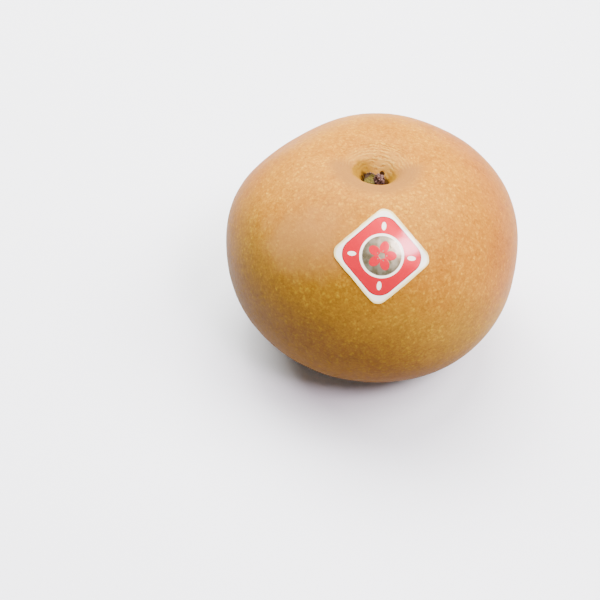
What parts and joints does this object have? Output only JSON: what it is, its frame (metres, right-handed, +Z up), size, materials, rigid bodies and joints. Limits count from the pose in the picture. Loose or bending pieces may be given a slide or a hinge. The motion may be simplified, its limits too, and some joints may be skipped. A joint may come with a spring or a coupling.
{
  "type": "nashi pear",
  "caption": "Whole flat-round russet nashi pear standing on its base, stem cut short in its cavity, with a plain foil fruit label on the shoulder.",
  "frame": {"origin": "on the ground, under the middle of the fruit's outline", "axes": "+Z up through the crown, -Y towards the side that carries the label, +X to the right as seen from the label"},
  "size_m": [0.1024, 0.1016, 0.0791],
  "materials": {
    "russet_skin": "satin russet fruit skin with pale corky dots",
    "cut_stem": "dry cut stem with bark",
    "foil_label": "printed foil label"
  },
  "bodies": {
    "root": {"fruit": "russet_skin", "stem": "cut_stem", "label": "foil_label"}
  },
  "joints": []
}
